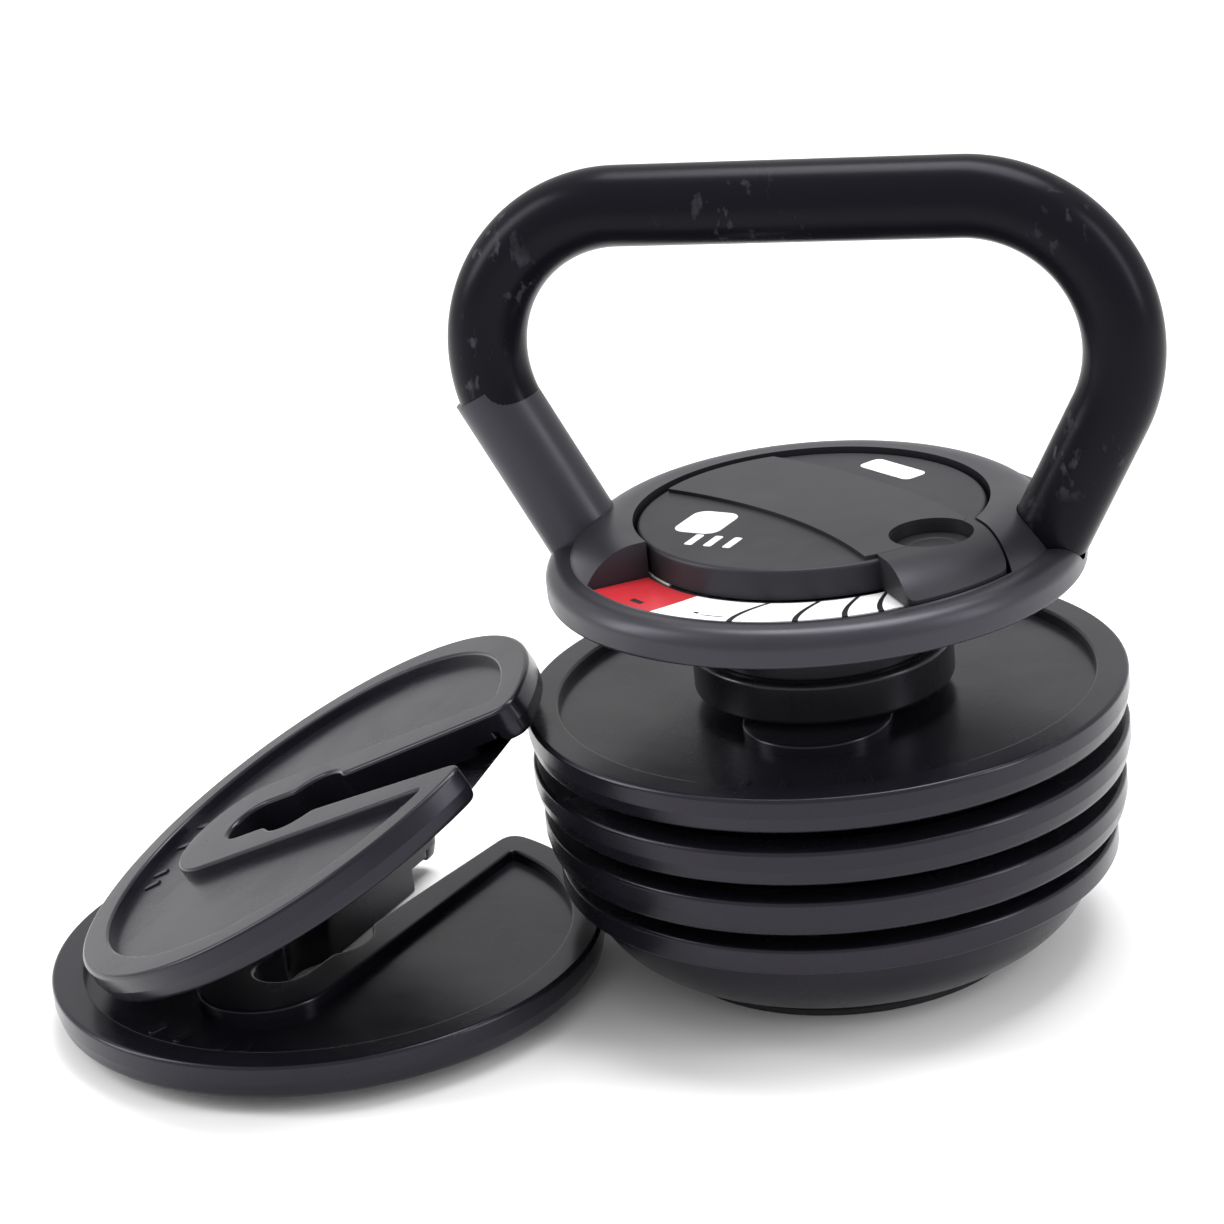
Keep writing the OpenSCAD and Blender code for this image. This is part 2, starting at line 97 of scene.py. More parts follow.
def soften(points, spacing=0.9, passes=5):
    """Rounds an outline's corners a little, as a casting's or moulding's are."""
    points = resample(points, spacing)
    for _ in range(passes):
        count = len(points)
        points = [tuple((points[i - 1][k] + 2 * points[i][k] + points[(i + 1) % count][k]) / 4
                        for k in (0, 1)) for i in range(count)]
    return points


def inset(points, distance):
    """The outline moved to its left by the distance."""
    out = []
    count = len(points)
    for i, p in enumerate(points):
        before, after = Vector(points[i - 1]), Vector(points[(i + 1) % count])
        along = (after - before).normalized()
        out.append((p[0] - along.y * distance, p[1] + along.x * distance))
    return out


def new_object(name, bm):
    mesh = bpy.data.meshes.new(name)
    bm.to_mesh(mesh)
    bm.free()
    obj = bpy.data.objects.new(name, mesh)
    bpy.context.scene.collection.objects.link(obj)
    return obj


def add_slab(bm, outlines, profiles):
    """A flat solid: one outline counter-clockwise, holes clockwise, each with its (inset, z) sides."""
    caps = ([], [])
    for outline, profile in zip(outlines, profiles):
        rings = []
        for distance, z in profile:
            ring = inset(outline, distance) if distance else outline
            rings.append([bm.verts.new((x * MM, y * MM, z * MM)) for x, y in ring])
        count = len(outline)
        for lower, upper in zip(rings, rings[1:]):
            for i in range(count):
                j = (i + 1) % count
                bm.faces.new((lower[i], lower[j], upper[j], upper[i]))
        caps[0].append(rings[0])
        caps[1].append(rings[-1])
    for rings, flip in zip(caps, (True, False)):
        flat = [v for ring in rings for v in ring]
        triangles = tessellate_polygon([[v.co for v in ring] for ring in rings])
        if len(rings) == 1 and len(triangles) < len(flat) - 2:
            bm.faces.new(list(reversed(flat)) if flip else flat)
            continue
        for triangle in triangles:
            corners = [flat[i] for i in triangle]
            normal = (corners[1].co - corners[0].co).cross(corners[2].co - corners[0].co)
            if (normal.z > 0) == flip:
                corners.reverse()
            if normal.length > 0:
                bm.faces.new(corners)
    return bm


def slab(name, outlines, profiles):
    return new_object(name, add_slab(bmesh.new(), outlines, profiles))


def straight(bottom, top):
    return [(0, bottom), (0, top)]


def rounded(bottom, top, fillet, steps=5):
    """Upright sides whose top edge is rounded."""
    sides = [(0, bottom)]
    for i in range(steps + 1):
        a = math.radians(90 * i / steps)
        sides.append((fillet * (1 - math.cos(a)), top - fillet + fillet * math.sin(a)))
    return sides


def lathe(name, profile, steps=192):
    """A closed (r, z) profile turned round the Z axis."""
    bm = bmesh.new()
    rings = []
    for i in range(steps):
        a = 2 * math.pi * i / steps
        rings.append([bm.verts.new((r * math.cos(a) * MM, r * math.sin(a) * MM, z * MM))
                      for r, z in profile])
    count = len(profile)
    for i in range(steps):
        ring, after = rings[i], rings[(i + 1) % steps]
        for k in range(count):
            n = (k + 1) % count
            if profile[k][0] > 1e-6 or profile[n][0] > 1e-6:
                bm.faces.new((ring[k], after[k], after[n], ring[n]))
    bmesh.ops.remove_doubles(bm, verts=bm.verts, dist=1e-7)
    bmesh.ops.recalc_face_normals(bm, faces=bm.faces)
    return new_object(name, bm)


def tube(name, path, radius, sides=64):
    """A round tube swept along points of the XZ plane, with its ends closed."""
    bm = bmesh.new()
    rings = []
    for i, p in enumerate(path):
        before, after = path[max(i - 1, 0)], path[min(i + 1, len(path) - 1)]
        along = Vector((after[0] - before[0], 0, after[1] - before[1])).normalized()
        across = along.cross(Vector((0, 1, 0)))
        ring = []
        for k in range(sides):
            a = 2 * math.pi * k / sides
            offset = across * math.cos(a) * radius + Vector((0, math.sin(a) * radius, 0))
            ring.append(bm.verts.new((Vector((p[0], 0, p[1])) + offset) * MM))
        rings.append(ring)
    for ring, after in zip(rings, rings[1:]):
        for k in range(sides):
            n = (k + 1) % sides
            bm.faces.new((ring[k], ring[n], after[n], after[k]))
    bm.faces.new(list(reversed(rings[0])))
    bm.faces.new(rings[-1])
    bmesh.ops.recalc_face_normals(bm, faces=bm.faces)
    return new_object(name, bm)


def evaluated(obj):
    """Applies the modifiers."""
    bpy.context.view_layer.update()
    depsgraph = bpy.context.evaluated_depsgraph_get()
    mesh = bpy.data.meshes.new_from_object(obj.evaluated_get(depsgraph))
    obj.modifiers.clear()
    obj.data = mesh
    return obj


def combine(obj, operation, *others):
    for other in others:
        modifier = obj.modifiers.new("combine", "BOOLEAN")
        modifier.operation = operation
        modifier.solver = "EXACT"
        modifier.object = other
        evaluated(obj)
        bpy.data.objects.remove(other)
    return obj


def weld(obj, distance=0.03):
    bm = bmesh.new()
    bm.from_mesh(obj.data)
    bmesh.ops.remove_doubles(bm, verts=bm.verts, dist=distance * MM)
    bm.to_mesh(obj.data)
    bm.free()
    return obj


def bevel(obj, width, angle=35, steps=3):
    modifier = obj.modifiers.new("bevel", "BEVEL")
    modifier.limit_method = "ANGLE"
    modifier.angle_limit = math.radians(angle)
    modifier.width = width * MM
    modifier.segments = steps
    modifier.use_clamp_overlap = True
    modifier.miter_outer = "MITER_ARC"
    return evaluated(obj)


def smooth(obj, angle=38):
    obj.data.shade_smooth()
    obj.data.set_sharp_from_angle(angle=math.radians(angle))
    modifier = obj.modifiers.new("normals", "WEIGHTED_NORMAL")
    modifier.keep_sharp = True
    modifier.weight = 80
    return evaluated(obj)


# ---- materials ----

GLOSS_TINT = (0.90, 0.86, 1.0)


class Shader:
    """A principled material and the nodes that feed it."""

    def __init__(self, name, colour, roughness, metallic=0.0, specular=0.5):
        self.material = bpy.data.materials.new(name)
        self.material.use_nodes = True
        self.tree = self.material.node_tree
        self.principled = self.tree.nodes["Principled BSDF"]
        self.principled.inputs["Base Color"].default_value = (*colour, 1)
        self.principled.inputs["Roughness"].default_value = roughness
        self.principled.inputs["Metallic"].default_value = metallic
        self.principled.inputs["Specular IOR Level"].default_value = specular
        if not metallic:
            self.principled.inputs["Specular Tint"].default_value = (*GLOSS_TINT, 1)
        self.place = self.node("ShaderNodeTexCoord").outputs["Object"]

    def node(self, kind, **values):
        made = self.tree.nodes.new(kind)
        for key, value in values.items():
            setattr(made, key, value)
        return made

    def link(self, source, target):
        self.tree.links.new(source, target)

    def noise(self, scale, detail=3, stretch=(1, 1, 1)):
        mapping = self.node("ShaderNodeMapping")
        mapping.inputs["Scale"].default_value = stretch
        self.link(self.place, mapping.inputs["Vector"])
        noise = self.node("ShaderNodeTexNoise")
        noise.inputs["Scale"].default_value = scale
        noise.inputs["Detail"].default_value = detail
        self.link(mapping.outputs["Vector"], noise.inputs["Vector"])
        return noise.outputs["Fac"]

    def ramp(self, source, low_in, high_in, low_out, high_out):
        ramp = self.node("ShaderNodeMapRange")
        for key, value in (("From Min", low_in), ("From Max", high_in),
                           ("To Min", low_out), ("To Max", high_out)):
            ramp.inputs[key].default_value = value
        self.link(source, ramp.inputs["Value"])
        return ramp.outputs["Result"]

    def math(self, operation, *values):
        made = self.node("ShaderNodeMath", operation=operation)
        for socket, value in zip(made.inputs, values):
            if isinstance(value, (int, float)):
                socket.default_value = value
            else:
                self.link(value, socket)
        return made.outputs[0]

    def mix(self, factor, first, second):
        made = self.node("ShaderNodeMix", data_type="RGBA")
        self.link(factor, made.inputs["Factor"])
        for socket, value in ((made.inputs["A"], first), (made.inputs["B"], second)):
            if isinstance(value, tuple):
                socket.default_value = (*value, 1)
            else:
                self.link(value, socket)
        return made.outputs["Result"]

    def bump(self, heights):
        """Bumps from (height source, strength, depth in mm) one after another."""
        last = None
        for source, strength, depth in heights:
            bump = self.node("ShaderNodeBump")
            bump.inputs["Strength"].default_value = strength
            bump.inputs["Distance"].default_value = depth * MM
            self.link(source, bump.inputs["Height"])
            if last:
                self.link(last, bump.inputs["Normal"])
            last = bump.outputs["Normal"]
        self.link(last, self.principled.inputs["Normal"])

    def vary(self, colour_a, colour_b, scale, rough_a, rough_b):
        """Slow changes of colour and roughness over the surface."""
        patches = self.noise(scale, 4)
        self.link(self.mix(patches, colour_a, colour_b), self.principled.inputs["Base Color"])
        self.link(self.ramp(patches, 0.3, 0.7, rough_a, rough_b),
                  self.principled.inputs["Roughness"])
        return self


def cast_enamel():
    shader = Shader("cast_enamel", (0.006, 0.006, 0.008), 0.26, specular=0.29)
    shader.vary((0.005, 0.005, 0.007), (0.009, 0.008, 0.012), 40, 0.2, 0.3)
    shader.bump([(shader.noise(60, 2), 0.2, 0.3), (shader.noise(420, 3), 0.22, 0.08),
                 (shader.noise(1800, 2), 0.1, 0.02)])
    return shader.material


def powder_coat(name, colour_a, colour_b, rough_a, rough_b):
    shader = Shader(name, colour_a, rough_a, specular=0.42)
    shader.vary(colour_a, colour_b, 35, rough_a, rough_b)
    shader.bump([(shader.noise(700, 3), 0.18, 0.05), (shader.noise(2600, 2), 0.16, 0.02)])
    return shader.material


def worn_coat():
    """The handle's gloss coat: fine orange peel, and small bright scuffs in sparse patches."""
    shader = Shader("tube_coat", (0.004, 0.004, 0.006), 0.26, specular=0.09)
    patches = shader.noise(14, 2)
    specks = shader.noise(260, 5, (1, 1, 0.5))
    scuffs = shader.math("MULTIPLY", shader.ramp(patches, 0.56, 0.66, 0, 1),
                         shader.ramp(specks, 0.58, 0.68, 0, 1))
    shader.link(shader.mix(scuffs, (0.004, 0.004, 0.006), (0.05, 0.05, 0.06)),
                shader.principled.inputs["Base Color"])
    shader.link(shader.ramp(scuffs, 0, 1, 0.27, 0.55), shader.principled.inputs["Roughness"])
    shader.bump([(shader.noise(110, 2), 0.1, 0.12), (shader.noise(900, 3), 0.16, 0.04),
                 (scuffs, 0.3, 0.05)])
    return shader.material


def moulded(name, colour_a, colour_b, rough_a, rough_b, grain=0.3):
    shader = Shader(name, colour_a, rough_a, specular=0.34)
    shader.vary(colour_a, colour_b, 50, rough_a, rough_b)
    shader.bump([(shader.noise(3200, 2), grain, 0.03)])
    return shader.material


def turned_steel(name, colour_a, colour_b, rough_a, rough_b):
    shader = Shader(name, colour_a, rough_a, metallic=1.0)
    shader.vary(colour_a, colour_b, 90, rough_a, rough_b)
    shader.bump([(shader.noise(900, 2, (1, 1, 14)), 0.25, 0.02)])
    return shader.material


def scale_print():
    """White and red scale fields with slanted dividers, laid out round the dial's axis."""
    shader = Shader("scale_print", (0.85, 0.85, 0.85), 0.32)
    parts = shader.node("ShaderNodeSeparateXYZ")
    shader.link(shader.place, parts.inputs["Vector"])
    x, y = parts.outputs["X"], parts.outputs["Y"]
    angle = shader.math("MULTIPLY", shader.math("ARCTAN2", y, x), 180 / math.pi)
    radius = shader.math("MULTIPLY", shader.math(
        "SQRT", shader.math("ADD", shader.math("MULTIPLY", x, x), shader.math("MULTIPLY", y, y))),
        1 / MM)
    reach = shader.math("DIVIDE", shader.math("SUBTRACT", radius, 61.5), 20.5)
    bow = shader.math("MULTIPLY", reach, shader.math("SUBTRACT", 1.6, reach))
    inner_r = 61.5

    def line(at_inner, at_outer, width):
        """1 on a curved line from one angle at the inner edge to another at the outer edge."""
        middle = shader.math("ADD", at_inner, shader.math("MULTIPLY", bow,
                                                          (at_outer - at_inner) / 0.6))
        off = shader.math("ABSOLUTE", shader.math("SUBTRACT", angle, middle))
        return shader.math("LESS_THAN", off, width)

    def spot(at_angle, at_radius, half_angle, half_radius):
        near = shader.math("LESS_THAN", shader.math("ABSOLUTE", shader.math(
            "SUBTRACT", angle, at_angle)), half_angle)
        close = shader.math("LESS_THAN", shader.math("ABSOLUTE", shader.math(
            "SUBTRACT", radius, at_radius)), half_radius)
        return shader.math("MULTIPLY", near, close)

    ink = 0.0
    for at_inner, at_outer in ((-91, -97.5), (-75.5, -81.5), (-63.5, -69.5), (-54, -60.5)):
        ink = shader.math("MAXIMUM", ink, line(at_inner, at_outer, 0.75))
    for mark in ((-108.5, 74.5, 0.7, 0.7), (-103.5, 75.6, 3.2, 0.35), (-127.5, 76.5, 2.2, 1.1)):
        ink = shader.math("MAXIMUM", ink, spot(*mark))
    speckle = shader.noise(900, 3)
    red_edge = shader.math("ADD", -116, shader.math("MULTIPLY", reach, -4.0))
    red = shader.math("LESS_THAN", angle, red_edge)
    white = shader.mix(speckle, (0.80, 0.80, 0.81), (0.86, 0.86, 0.87))
    red_field = shader.mix(speckle, (0.42, 0.018, 0.025), (0.50, 0.026, 0.034))
    colour = shader.mix(red, white, red_field)
    shader.link(shader.mix(ink, colour, (0.015, 0.015, 0.015)),
                shader.principled.inputs["Base Color"])
    shader.bump([(shader.noise(1200, 2), 0.05, 0.01)])
    return shader.material


def mark_print():
    shader = Shader("mark_print", (0.8, 0.8, 0.8), 0.45)
    speckle = shader.noise(1500, 3)
    shader.link(shader.mix(speckle, (0.74, 0.75, 0.77), (0.86, 0.86, 0.87)),
                shader.principled.inputs["Base Color"])
    shader.bump([(shader.noise(3000, 2), 0.1, 0.02)])
    return shader.material


def floor_paint():
    shader = Shader("floor_paint", (0.9, 0.9, 0.9), 0.9, specular=0.1)
    shader.vary((0.88, 0.88, 0.88), (0.90, 0.90, 0.90), 2, 0.85, 0.95)
    return shader.material


materials = {
    "cast": cast_enamel(),
    "frame_black": powder_coat("frame_coat", (0.013, 0.013, 0.016), (0.018, 0.018, 0.022),
                               0.32, 0.42),
    "tube_black": worn_coat(),
    "collar_black": powder_coat("collar_coat", (0.006, 0.006, 0.007), (0.010, 0.010, 0.012),
                                0.24, 0.34),
    "dial_black": moulded("dial_moulding", (0.011, 0.011, 0.013), (0.015, 0.015, 0.017),
                          0.42, 0.5),
    "trim_black": moulded("trim_moulding", (0.014, 0.014, 0.016), (0.018, 0.018, 0.020),
                          0.4, 0.46, 0.2),
    "button_black": moulded("button_moulding", (0.012, 0.012, 0.014), (0.017, 0.017, 0.019),
                            0.36, 0.44, 0.2),
    "foot_rubber": moulded("foot_rubber", (0.012, 0.012, 0.013), (0.018, 0.018, 0.018),
                           0.55, 0.7, 0.5),
    "slip": moulded("slip_ring", (0.62, 0.60, 0.54), (0.68, 0.66, 0.60), 0.4, 0.5, 0.2),
    "steel": turned_steel("turned_steel", (0.50, 0.51, 0.53), (0.60, 0.61, 0.62), 0.26, 0.38),
    "zinc": turned_steel("zinc_plate", (0.60, 0.60, 0.56), (0.70, 0.70, 0.68), 0.3, 0.42),
    "label_print": scale_print(),
    "mark_print": mark_print(),
}
for node, obj in nodes.items():
    obj.data.materials.clear()
    obj.data.materials.append(materials[slot_of[node]])


def dress(obj, node, *more):
    """The piece stands for these CAD nodes, and moves and is painted as the first does."""
    obj.name = obj.data.name = "look_" + node
    obj.data.materials.clear()
    obj.data.materials.append(materials[slot_of[node]])
    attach(obj, body_of_node[node])
    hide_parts(node, *more)
    return obj


# ---- plates ----

SLOT_HALF = 10.4
SLOT_FLARE = 0.065
PRONG_ROUND = 8
SEAT_R = 16
SLOT_END = 38
BAND_HALF = 25.5
BAND_END = 61.5
RIM_W = 11.5
FLOOR_DROP = 4
DISC_LOW = 6.2
WEB_LOW = 9.4
WEB_TOP = 12
BOSS_IN = 23


def slot_side():
    """The slot's edge from the mouth's right side, round the closed end, to its left side."""
    hub = math.degrees(math.acos(SLOT_HALF / SEAT_R))
    end = SLOT_HALF - SLOT_END
    return (arc((0, 0), SEAT_R, hub, -hub, 14) + arc((0, end), SLOT_HALF, 0, -180, 20)
            + arc((0, 0), SEAT_R, 180 + hub, 180 - hub, 14))


def mouth_angle(radius):
    """Half the angle that the slot's flared edges leave open at a radius."""
    half = SLOT_HALF
    for _ in range(6):
        half = SLOT_HALF + SLOT_FLARE * (math.sqrt(radius ** 2 - half ** 2) - SEAT_R)
    return math.degrees(math.asin(half / radius))


def bend(start, corner, end, steps=10):
    """A smooth curve that turns the corner from one point to another."""
    points = []
    for i in range(1, steps):
        t = i / steps
        points.append(tuple((1 - t) ** 2 * start[k] + 2 * t * (1 - t) * corner[k] + t * t * end[k]
                            for k in (0, 1)))
    return points


def prong_ends(radius, fillet):
    """The rim from its left end round to its right one, with both rounded mouth corners."""
    mouth = mouth_angle(radius)
    turn = math.degrees(fillet / radius)
    rim = arc((0, 0), radius, 90 + mouth + turn, 90 - mouth - turn + FULL_TURN, 200)
    corner = arc((0, 0), radius, 90 - mouth, 90 - mouth, 1)[0]
    inside = (corner[0] - SLOT_FLARE * fillet, corner[1] - fillet)
    right = bend(rim[-1], corner, inside) + [inside]
    left = [(-x, y) for x, y in reversed(right)]
    return left + rim + right


def slotted(radius, fillet=1.5, passes=5):
    """A round outline cut by the slot, whose mouth is at +Y."""
    edge = [(SLOT_HALF, SEAT_R), *slot_side(), (-SLOT_HALF, SEAT_R)]
    return soften(prong_ends(radius, fillet) + edge, passes=passes)


def recess(radius, grow=0.0):
    """The recess between rim and band, clockwise."""
    half, end = BAND_HALF - grow, BAND_HALF - BAND_END
    outer = radius - RIM_W + grow
    corner = math.degrees(math.asin(half / outer))
    loop = arc((0, 0), outer, 90 + corner, 90 - corner + FULL_TURN, 170)
    loop += arc((0, end), half, 0, -180, 40)
    return list(reversed(soften(loop, passes=8)))


def cavity(boss):
    """The hollow of the underside's boss, clockwise."""
    half, outer = SLOT_HALF + 7, boss - 7
    end = half - BAND_END
    reach = math.degrees(math.asin(half / outer))
    loop = arc((0, 0), outer, 90 + reach, 90 - reach + FULL_TURN, 120)
    if outer > BAND_END:
        return list(reversed(soften(loop + arc((0, end), half, 0, -180, 30), passes=8)))
    return None


def tally(bm, radius, floor):
    """Raised tally bars on the recess floor, by the slot's closed end."""
    for angle, wide, tall in ((-14, 2.4, 7), (-5, 2.4, 7), (8, 2.4, 7), (14, 2.4, 7)):
        a = math.radians(angle)
        box = [(-wide / 2, 17 - radius), (wide / 2, 17 - radius),
               (wide / 2, 17 - radius + tall), (-wide / 2, 17 - radius + tall)]
        turned = [(x * math.cos(a) - y * math.sin(a), x * math.sin(a) + y * math.cos(a))
                  for x, y in box]
        add_slab(bm, [soften(turned, 0.4, 2)], [rounded(floor - 0.1, floor + 0.75, 0.3, 3)])


def full_plate(name, radius, height):
    boss = radius - BOSS_IN
    floor = height - FLOOR_DROP
    bm = bmesh.new()
    add_slab(bm, [slotted(radius, PRONG_ROUND), recess(radius)],
             [rounded(WEB_TOP, height, 1.6, 6), rounded(WEB_TOP, height, 1.2, 5)])
    inner = radius - RIM_W - 0.5
    open_in = mouth_angle(inner)
    rim = soften(prong_ends(radius, PRONG_ROUND)
                 + arc((0, 0), inner, 90 - open_in + FULL_TURN, 90 + open_in, 200))
    draft = [(2.8, DISC_LOW), (1.9, DISC_LOW + 0.3), (1.2, DISC_LOW + 1.0), (0.8, DISC_LOW + 2.2),
             (0, WEB_TOP)]
    add_slab(bm, [rim], [draft])
    add_slab(bm, [slotted(radius - RIM_W - 1)], [straight(WEB_LOW, WEB_TOP)])
    add_slab(bm, [list(reversed(recess(radius, 1.0)))], [straight(WEB_TOP - 0.5, floor)])
    hollow = cavity(boss)
    under = [(1, 0), (0.3, 0.3), (0, 1), (0, WEB_LOW)]
    if hollow:
        add_slab(bm, [slotted(boss), hollow], [under, straight(0, WEB_LOW)])
    else:
        add_slab(bm, [slotted(boss)], [under])
    tally(bm, radius, floor)
    return new_object(name, bm)


def thin_plate(name, radius, height):
    bm = bmesh.new()
    floor = height - FLOOR_DROP
    sides = [(1.2, 0), (0.5, 0.4), (0, 1.2), *rounded(1.2, height, 1.6, 6)[1:]]
    add_slab(bm, [slotted(radius, PRONG_ROUND), recess(radius)],
             [sides, rounded(0, height, 1.2, 5)])
    add_slab(bm, [list(reversed(recess(radius, 1.0)))], [straight(0.1, floor)])
    tally(bm, radius, floor)
    return new_object(name, bm)


STACK_TURN = Matrix.Rotation(math.radians(8), 4, "Z")
for node in ("plate_1", "plate_2", "plate_3", "plate_4"):
    bottom, top = low(node), high(node)
    radius = (top.x - bottom.x) / 2
    make = thin_plate if node == "plate_1" else full_plate
    piece = smooth(make(node, radius, top.z - bottom.z))
    piece.data.transform(Matrix.Translation((0, 0, bottom.z * MM)) @ STACK_TURN)
    dress(piece, node)

# Loose plates: turned as they lie, then set so that their boxes match the CAD's
PLATE_H = high("plate_2").z - low("plate_2").z
FLAT_R = 99
LEAN_R = 94.5
lean = (Matrix.Rotation(math.radians(193), 4, "Z") @ Matrix.Rotation(math.radians(27.8), 4, "Y")
        @ Matrix.Rotation(math.radians(152 - 90), 4, "Z"))
for node, radius, turn in (("plate_5", FLAT_R, Matrix.Rotation(math.radians(-15), 4, "Z")),
                           ("plate_6", LEAN_R, lean)):
    piece = smooth(full_plate(node, radius, PLATE_H))
    piece.data.transform(turn)
    spots = [v.co for v in piece.data.vertices]
    middle = Vector([(min(s[k] for s in spots) + max(s[k] for s in spots)) / 2 for k in range(3)])
    bottom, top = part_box(node)
    piece.data.transform(Matrix.Translation((bottom + top) / 2 - middle))
    dress(piece, node)


# ---- base and foot ----

base_r = (high("base_plate").x - low("base_plate").x) / 2
base_top = high("base_plate").z
foot_r = high("foot_pad").x
foot_top = 5.5
side = arc((base_r - 32, base_top + 4.4), 32.5, -78.5, -10.5, 20)
rounding = arc((base_r - 1.5, base_top - 1.5), 1.5, 0, 90, 5)
dress(smooth(lathe("base", [(12.05, 12), (24, 12), (24, 26), (55, 26), (55, foot_top),
                            (65.4, foot_top)] + side[1:] + rounding + [(12.05, base_top)])),
      "base_plate")
dress(smooth(lathe("foot", [(0.01, 0), (56, 0), (57, 0.6), (59, 0.6), (60, 0)]
                   + arc((foot_r - 1, 1), 1, -90, 0, 5)
                   + [(foot_r, 2.4), (foot_r - 0.6, 2.8), (foot_r - 0.6, 3.4), (foot_r, 3.8),
                      (foot_r, foot_top), (24, foot_top), (24, 3), (0.01, 3)])), "foot_pad")


# ---- handle ----

tube_r = (high("handle").y - low("handle").y) / 2
grip_z = high("handle").z - tube_r
BEND_R = 51.25
LEAN_DEG = 27.75
bend_x = high("handle").x - tube_r - BEND_R
bend_z = grip_z - BEND_R
lean_rad = math.radians(LEAN_DEG)
leg = (bend_x + BEND_R * math.cos(lean_rad), bend_z - BEND_R * math.sin(lean_rad))
leg_low = low("handle").z


def leg_point(z):
    return (leg[0] - (leg[1] - z) * math.tan(lean_rad), z)


path_low = leg_low - 12
right = [leg_point(path_low + (leg[1] - path_low) * i / 42) for i in range(42)]
right += arc((bend_x, bend_z), BEND_R, -LEAN_DEG, 90, 70)
right += [(bend_x * (1 - i / 39), grip_z) for i in range(1, 39)]
path = right + [(0, grip_z)] + [(-x, z) for x, z in reversed(right)]
handle_piece = tube("handle", path, tube_r)
floor_cut = lathe("cut", [(0.01, leg_low - 40), (150, leg_low - 40), (150, leg_low),
                          (0.01, leg_low)], 32)
handle_piece = combine(handle_piece, "DIFFERENCE", floor_cut)
handle_piece.data.shade_smooth()
handle_piece.data.set_sharp_from_angle(angle=math.radians(50))
dress(handle_piece, "handle")


# ---- lid ----

crown = high("lid").z
lid_r = high("lid").x
lid_low = low("lid").z
web_top = low("scale_label").z
well_r = 61.3
window_r = 83.7
SHOULDER = (65, crown - 21.7)
BEAD = 6.5
BAND_CENTRE = (-120.7, -151.3)
WINDOW_LEFT = -142.5
WINDOW_RIGHT_R = 226.8


def meets(radius, reach):
    """The angle at which a circle round the axis leaves a circle round the band's centre."""
    angle = -60.0
    while angle < 0:
        p = (radius * math.cos(math.radians(angle)), radius * math.sin(math.radians(angle)))
        if math.dist(p, BAND_CENTRE) > reach:
            return angle
        angle += 0.05
    return 0.0


def right_edge(inner, outer, reach, steps=20):
    """Points on the band's circle between two radii, from the outer one inward."""
    points = []
    for i in range(steps + 1):
        r = outer + (inner - outer) * i / steps
        a = math.radians(meets(r, reach))
        points.append((r * math.cos(a), r * math.sin(a)))
    return points


lid_piece = lathe("lid", [(46.2, 141), (56, 141), (58, 143), (86, 143), (88.5, lid_low),
                          (lid_r - 1.4, lid_low)]
                  + arc((lid_r - 1.4, lid_low + 1.4), 1.4, -60, 0, 4)
                  + arc((lid_r - BEAD, 145.5), BEAD, 0, 90, 14)
                  + arc(SHOULDER, 21.7, 29, 90, 28)
                  + [(well_r, crown), (well_r, web_top), (46.2, web_top)], 256)
window_line = (arc((0, 0), window_r, WINDOW_LEFT, meets(window_r, WINDOW_RIGHT_R), 90)
               + right_edge(well_r - 1, window_r, WINDOW_RIGHT_R)[1:]
               + arc((0, 0), well_r - 1, meets(well_r - 1, WINDOW_RIGHT_R), WINDOW_LEFT, 80)[1:])
window = slab("window", [window_line], [straight(web_top, crown + 10)])
cutters = [window]
for mirror in (1, -1):
    ends = [leg_point(leg_low), leg_point(leg_low + 60)]
    cutters.append(tube("leg_cut", [(mirror * x, z) for x, z in ends], tube_r + 0.25, sides=64))
dress(smooth(bevel(weld(combine(lid_piece, "DIFFERENCE", *cutters)), 0.45)), "lid")


# ---- dial ----

dial_top = low("trim_band").z
trim_top = high("trim_band").z
DIAL_R = 60
ARM_R = 82.6
ARM_REACH = 226
ARM_LEFT = -55.5
FINGER_R = 14
finger = (low("lock_button") + high("lock_button")) / 2
shell_low = dial_top - 2

dial_piece = lathe("dial", [(8.2, shell_low), (57.6, shell_low), (57.6, 151), (DIAL_R, 151)]
                   + arc((DIAL_R - 1.5, dial_top - 1.5), 1.5, 0, 90, 8)
                   + [(8.2, dial_top)], 224)
arm_line = ([(55 * math.cos(math.radians(ARM_LEFT)), 55 * math.sin(math.radians(ARM_LEFT)))]
            + arc((0, 0), ARM_R, ARM_LEFT, meets(ARM_R, ARM_REACH), 30)
            + right_edge(55, ARM_R, ARM_REACH)[1:])
arm = lathe("arm", [(58.1, 151.3), (ARM_R, 151.3)]
            + arc((SHOULDER[0] - 0.2, SHOULDER[1] - 0.4), 21.7, 35, 90, 26)
            + [(58.1, crown - 0.4)], 256)
combine(arm, "INTERSECT", slab("arm_cut", [soften(arm_line, 1.2, 4)], [straight(150, 175)]))


def round_at(name, radius, bottom, top, centre=finger, steps=96):
    made = lathe(name, [(0.01, bottom), (radius, bottom), (radius, top), (0.01, top)], steps)
    made.data.transform(Matrix.Translation((centre.x * MM, centre.y * MM, 0)))
    return made


combine(dial_piece, "UNION", arm, round_at("cup", FINGER_R + 1.5, 153.2, dial_top - 0.6),
        round_at("stem", 6.5, 150.7, 154))
combine(dial_piece, "DIFFERENCE", round_at("pocket", FINGER_R, 154.2, 175),
        round_at("bore", 5.3, 151.4, 175), round_at("pin_hole", 1.5, 149, 175, steps=32))
dress(smooth(bevel(weld(dial_piece), 0.6)), "dial")

